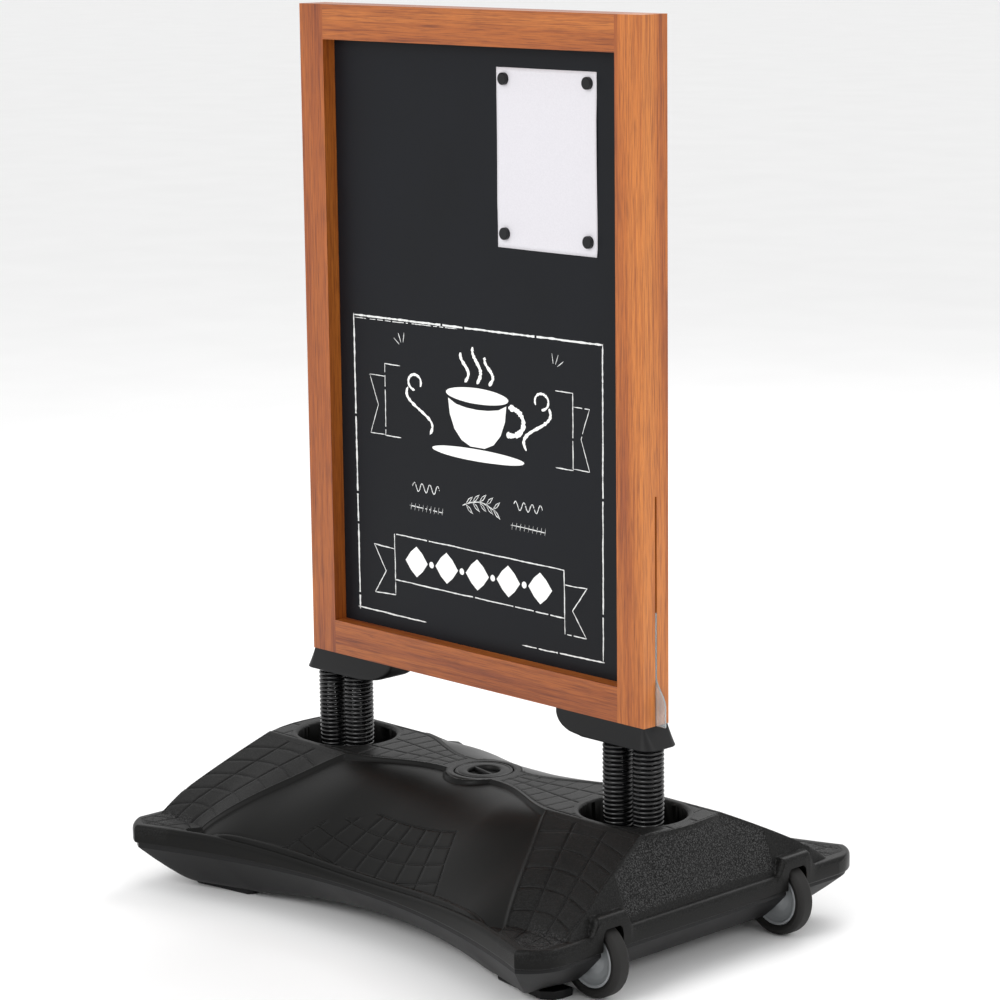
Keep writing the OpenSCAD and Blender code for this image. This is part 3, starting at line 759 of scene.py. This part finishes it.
hub_profile = [(4.1, -13), (9.5, -13), (11, -10.5), (13, -6.5), (20, -4.2), (28, -4.6), (33, -7.2),
               (34.2, -10.8), (37.6, -11), (38.4, -9), (38.4, 9), (37.6, 11), (34.2, 10.8),
               (33, 7.2), (28, 4.6), (20, 4.2), (13, 6.5), (11, 10.5), (9.5, 13), (4.1, 13)]
half_t = (tyre_high[1] - tyre_low[1]) / 2
tyre_side = [(38.4, 9), (38.9, 11.4), (41, 12.6), (44, half_t - 0.1), (46, half_t - 0.2)]
tyre_side += [(wheel_r - 7 + 7 * math.sin(t), half_t - 7 + 7 * math.cos(t) - 0.2)
              for t in np.linspace(0.15, math.pi / 2, 9)]
tyre_profile = [(r, -w) for r, w in tyre_side] + [(r, w) for r, w in tyre_side[::-1]]
for place, sy in (("front", -1), ("back", 1)):
    at = (wheel_at[0], sy * wheel_y, wheel_at[2])
    hub = make(f"hub_{place}_dish", *lathe(rounded_profile(hub_profile, 0.8), at, (0, 1, 0)),
               f"wheel_{place}", "hub",
               replaces=[f"hub_{place}"])
    fix_normals(hub)
    smooth_by_angle(hub, 60)
    put(hub_grey, hub)
    tyre = make(f"tyre_{place}_tread", *lathe(tyre_profile, at, (0, 1, 0)), f"wheel_{place}", "tyre",
                replaces=[f"tyre_{place}"])
    fix_normals(tyre)
    smooth_by_angle(tyre, 60)
    put(tyre_black, tyre)

# ---- Filler cap: a flat disc with a deep round well and a grip bar across it ----
cap_x, cap_y = (cap_low[0] + cap_high[0]) / 2, 0.0
cap_r = (cap_high[0] - cap_low[0]) / 2
well_r, well_z = 22.5, cap_high[2] - 13
cap_profile = [(0.01, well_z), (well_r - 4, well_z), (well_r - 1, well_z + 2.5), (well_r, well_z + 6),
               (well_r, cap_high[2] - 2.2),
               (well_r + 1.6, cap_high[2] - 0.5), (well_r + 3, cap_high[2] - 0.1), (cap_r - 6, cap_high[2] - 0.1),
               (cap_r - 4.8, cap_high[2] - 0.8),
               (cap_r - 3.8, cap_high[2] - 0.1), (cap_r - 1.5, cap_high[2] - 0.1), (cap_r, cap_high[2] - 1.5),
               (cap_r, cap_high[2] - 5),
               (29.5, cap_high[2] - 5), (29.5, cap_low[2]), (0.01, cap_low[2])]
cap = make("cap_disc", *lathe(cap_profile, (cap_x, cap_y, 0), (0, 0, 1), 120), "cap", "cap",
           replaces=["filler_cap"])
fix_normals(cap)
smooth_by_angle(cap, 50)
put(cap_black, cap)
grip_rings = []
for along in np.linspace(-1, 1, 15):
    squeeze = 1 - 0.35 * abs(along) ** 3
    section = [(-3.4, -13), (-2.8, -2.6), (-1.8, -1.3), (0, -0.9), (1.8, -1.3), (2.8, -2.6), (3.4, -13)]
    grip_rings.append([(along * (well_r + 0.6), y * squeeze, cap_high[2] + z) for y, z in section])
grip = make("cap_grip", *loft([np.array(r) for r in grip_rings]), None, None)
grip.data.transform(Matrix.Translation(Vector((cap_x, cap_y, 0)) * MM)
                    @ Matrix.Rotation(math.radians(-12), 4, "Z"))
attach(grip, "cap")
fix_normals(grip)
smooth_by_angle(grip, 40)
put(cap_black, grip)

# ---- Notice sheet: paper with a slight curl between its magnets ----
low, high = node_box("notice_sheet")
magnet_boxes = [node_box(n) for n in ("magnet_top_left", "magnet_top_right",
                                      "magnet_bottom_left", "magnet_bottom_right")]
sheet_n = 40
sheet_points = []
for side in (0, 1):
    for i in range(sheet_n + 1):
        for j in range(sheet_n + 1):
            u, v = i / sheet_n, j / sheet_n
            x, z = low[0] + (high[0] - low[0]) * u, low[2] + (high[2] - low[2]) * v
            held = min(1.0, min(math.hypot(x - (m[0][0] + m[1][0]) / 2, z - (m[0][2] + m[1][2]) / 2)
                                for m in magnet_boxes) / 45)
            curl = (1.1 * held ** 2 * (0.5 + 0.5 * math.sin(5.2 * v + 1.3) * math.cos(3.1 * u))
                + 2.2 * max(0, 0.06 - v) / 0.06 * held * u)
            sheet_points.append((x, high[1] - 0.05 - 0.2 * side - curl, z))
size = sheet_n + 1
sheet_faces = []
for i in range(sheet_n):
    for j in range(sheet_n):
        a = i * size + j
        sheet_faces.append((a, a + 1, a + size + 1, a + size))
        b = size * size + a
        sheet_faces.append((b, b + size, b + size + 1, b + 1))
edge_ring = [i * size for i in range(size)] + [sheet_n * size + j for j in range(1, size)]
edge_ring += [i * size + sheet_n for i in range(sheet_n - 1, -1, -1)] + list(range(sheet_n - 1, 0, -1))
for a, b in zip(edge_ring, edge_ring[1:] + edge_ring[:1]):
    sheet_faces.append((a, b, size * size + b, size * size + a))
sheet = make("notice_paper", sheet_points, sheet_faces, "sign", "sheet", replaces=["notice_sheet"])
fix_normals(sheet)
put(paper, sheet)

# ---- Chalk drawing on the front board: generic shapes, as thin ribbons just proud of the surface ----
board_front = board_low[1]
lift = 0.12
design = {"fine": ([], []), "bold": ([], [])}


def wobble(points, amount):
    noise = rng.normal(0, 1, (len(points), 2))
    kernel = np.ones(5) / 5
    soft = np.stack([np.convolve(noise[:, k], kernel, "same")[:len(points)] for k in (0, 1)], 1)
    return points + soft * amount


def stroke(points, width, layer="fine", rough=0.35, taper=True, gap=0.0):
    """A chalk line through (x, z) points, measured from the frame's middle and the ground."""
    points = np.asarray(points, float)
    steps = [points[0]]
    for a, b in zip(points, points[1:]):
        n = max(2, int(np.hypot(*(b - a)) / 4))
        steps += [a + (b - a) * k / n for k in range(1, n + 1)]
    points = wobble(np.array(steps), rough)
    tangent = np.gradient(points, axis=0)
    tangent /= np.maximum(np.linalg.norm(tangent, axis=1)[:, None], 1e-6)
    normal = np.stack([-tangent[:, 1], tangent[:, 0]], 1)
    widths = (width * (0.8 if layer == "fine" else 0.95)
              * (1 + 0.22 * rng.normal(0, 1, len(points)).clip(-1.5, 1.5)) / 2)
    if taper:
        ends = np.minimum(np.arange(len(points)), np.arange(len(points))[::-1]) / 2.0
        widths *= np.clip(0.35 + ends, 0, 1)
    verts, faces = design[layer]
    left, right = points + normal * widths[:, None], points - normal * widths[:, None]
    first = len(verts)
    for p, q in zip(left, right):
        verts += [(centre_x + p[0], board_front - lift, p[1]), (centre_x + q[0], board_front - lift, q[1])]
    for k in range(len(points) - 1):
        if rng.random() >= gap:
            a = first + 2 * k
            faces.append((a, a + 1, a + 3, a + 2))


def fill(points, layer="bold"):
    """A filled chalk shape."""
    verts, faces = design[layer]
    first = len(verts)
    verts += [(centre_x + x, board_front - lift * 1.3, z) for x, z in wobble(np.asarray(points, float), 0.3)]
    faces.append(tuple(range(first, first + len(points))))


def arc(cx, cz, rx, rz, a0, a1, n=24):
    return [(cx + rx * math.cos(math.radians(t)), cz + rz * math.sin(math.radians(t)))
            for t in np.linspace(a0, a1, n)]


# border, drawn twice in places
stroke([(-254, 806), (240, 810)], 3.2, gap=0.04)
stroke([(-252, 802), (-40, 805)], 1.2, gap=0.2)
stroke([(239, 811), (237, 384)], 2.6, gap=0.03)
stroke([(-254, 808), (-252, 380)], 3.4, gap=0.03)
stroke([(-256, 383), (-112, 382)], 2.4, gap=0.05)
stroke([(82, 381), (240, 383)], 2.2, gap=0.05)
# lower ribbon with forked tails
stroke([(-176, 500), (164, 498), (165, 432), (-175, 434), (-176, 500)], 2.0, taper=False, gap=0.03)
stroke([(-176, 478), (-219, 480), (-195, 444), (-219, 410), (-175, 412), (-175, 434)], 1.8, gap=0.03)
stroke([(164, 478), (207, 479), (180, 444), (206, 410), (165, 410), (165, 432)], 1.8, gap=0.03)
# row of lozenges and dots inside the ribbon
for k in range(5):
    cx = -130 + 62 * k
    fill([(cx - 23, 466), (cx - 12, 479), (cx, 488), (cx + 12, 479),
          (cx + 23, 466), (cx + 12, 453), (cx, 444), (cx - 12, 453)])
for k in range(4):
    fill(arc(-99 + 62 * k, 466, 4.6, 4.6, 0, 340, 14))
# upper brackets with tails
stroke([(-158, 742), (-190, 742), (-190, 640), (-158, 640)], 1.7, gap=0.05)
stroke([(-190, 724), (-222, 724), (-205, 682), (-222, 640), (-190, 641)], 1.4, gap=0.08)
stroke([(150, 740), (183, 740), (183, 636), (150, 636)], 1.7, gap=0.05)
stroke([(183, 722), (214, 722), (198, 680), (214, 638), (183, 638)], 1.4, gap=0.08)
# large steaming cup on a saucer
fill(arc(-2, 716, 62, 11, 0, 345, 36) )
fill([(-60, 708), (-57, 686), (-48, 666), (-34, 652), (-16, 645), (12, 645), (30, 652), (44, 666),
      (53, 686), (56, 708),
      (40, 701), (20, 698), (-2, 697), (-24, 698), (-44, 701)])
stroke(arc(64, 688, 25, 19, 100, -110, 22), 7.5, "bold", 0.25)
fill(arc(-2, 634, 92, 8.5, 0, 345, 36))
for k, reach in ((-24, 40), (0, 50), (24, 38)):
    stroke([(k - 2 + 8 * math.sin(t * 5.2), 733 + reach * t) for t in np.linspace(0, 1, 18)],
           5.2, "bold", 0.25)
# flourishes either side of the cup
for s in (-1, 1):
    base_x = -2 + s * 96
    stroke([(base_x + s * 40 * t - s * 14 * math.sin(t * 6), 652 + 62 * t) for t in np.linspace(0, 1, 20)],
           4.6, "bold", 0.3)
    stroke(arc(base_x + s * 30, 722, 13, 11, 270 if s > 0 else 270, 270 + s * 300, 20), 3.6, "bold", 0.3)
    for k in range(3):
        a0 = math.radians(35 + 32 * k)
        cx, cz = -2 + s * 150, 768
        stroke([(cx + s * 8 * math.cos(a0), cz + 8 * math.sin(a0)),
                (cx + s * 22 * math.cos(a0), cz + 22 * math.sin(a0))], 1.7)
# small row: leaf sprig, two scribbles, beads
stroke([(-34 + 68 * t, 560 + 9 * math.sin(t * 3.2)) for t in np.linspace(0, 1, 14)], 1.8)
for k in range(5):
    t = (k + 0.5) / 5
    cx, cz = -34 + 68 * t, 560 + 9 * math.sin(t * 3.2)
    for s in (-1, 1):
        stroke([(cx, cz), (cx + 6, cz + s * 8), (cx + 14, cz + s * 12), (cx + 8, cz + s * 4), (cx, cz)],
               1.3, rough=0.2)
for cx in (-108, 96):
    stroke([(cx - 28 + 56 * t, 574 + 6 * math.sin(t * 22)) for t in np.linspace(0, 1, 40)], 1.6, gap=0.06)
    stroke([(cx - 34, 546), (cx + 34, 544)], 1.6, gap=0.05)
    for k in range(9):
        stroke([(cx - 32 + 8 * k, 540), (cx - 30 + 8 * k, 550)], 1.1, rough=0.2)
for layer, material in (("fine", chalk), ("bold", chalk_white)):
    verts, faces = design[layer]
    drawing = make("chalk_" + layer, verts, faces, "sign", "board", smooth=False)
    bm = bmesh.new()
    bm.from_mesh(drawing.data)
    bmesh.ops.recalc_face_normals(bm, faces=bm.faces)
    for f in bm.faces:
        if f.normal.y > 0:
            f.normal_flip()
    bm.to_mesh(drawing.data)
    bm.free()
    put(material, drawing)

# ---- Stage: pale floor, soft light and the camera ----
scene = bpy.context.scene
floor = make("floor", [(-30000, -30000, 0), (30000, -30000, 0), (30000, 30000, 0), (-30000, 30000, 0)],
             [(0, 1, 2, 3)], None, None)
floor_pale = Material("floor_pale", 0.8)
floor_pale.colour(floor_pale.ramp(floor_pale.noise(3, 2),
                                  [(0.3, (0.9, 0.9, 0.9, 1)), (0.7, (0.92, 0.92, 0.92, 1))]))
put(floor_pale, floor)

world = bpy.data.worlds.new("studio")
world.use_nodes = True
world.node_tree.nodes["Background"].inputs["Color"].default_value = (1, 1, 1, 1)
world.node_tree.nodes["Background"].inputs["Strength"].default_value = 0.95
scene.world = world


def lamp(name, place, target, size_m, power):
    data = bpy.data.lights.new(name, "AREA")
    data.size = size_m
    data.energy = power
    obj = bpy.data.objects.new(name, data)
    obj.location = place
    obj.rotation_mode = "QUATERNION"
    obj.rotation_quaternion = (Vector(target) - Vector(place)).to_track_quat("-Z", "Y")
    scene.collection.objects.link(obj)


middle = (0, 0, 0.6)
lamp("key", (0.2, -3.4, 2.6), middle, 1.8, 52)
lamp("side", (3.6, 0.6, 2.2), middle, 1.6, 27)
lamp("top_back", (-0.6, 2.6, 3.2), (0, 0, 0.2), 2.2, 60)

scene.view_settings.view_transform = "Standard"

azimuth, elevation, roll = 0.80975, -0.19235, -0.01178
camera_mm = Vector((3202.3 + centre_x, -3012.8, 1427.8))
look = Vector((-math.sin(azimuth) * math.cos(elevation), math.cos(azimuth) * math.cos(elevation),
               math.sin(elevation)))
right_v = Vector((math.cos(azimuth), math.sin(azimuth), 0))
up_v = right_v.cross(look)
tilted_right = math.cos(roll) * right_v + math.sin(roll) * up_v
tilted_up = -math.sin(roll) * right_v + math.cos(roll) * up_v
camera = bpy.data.objects.new("camera", bpy.data.cameras.new("camera"))
camera.data.sensor_width = 36
camera.data.lens = 117.515
camera.matrix_world = Matrix((
    (tilted_right.x, tilted_up.x, -look.x, camera_mm.x * MM),
    (tilted_right.y, tilted_up.y, -look.y, camera_mm.y * MM),
    (tilted_right.z, tilted_up.z, -look.z, camera_mm.z * MM),
    (0, 0, 0, 1)))
camera.data.clip_end = 100
scene.collection.objects.link(camera)
scene.camera = camera
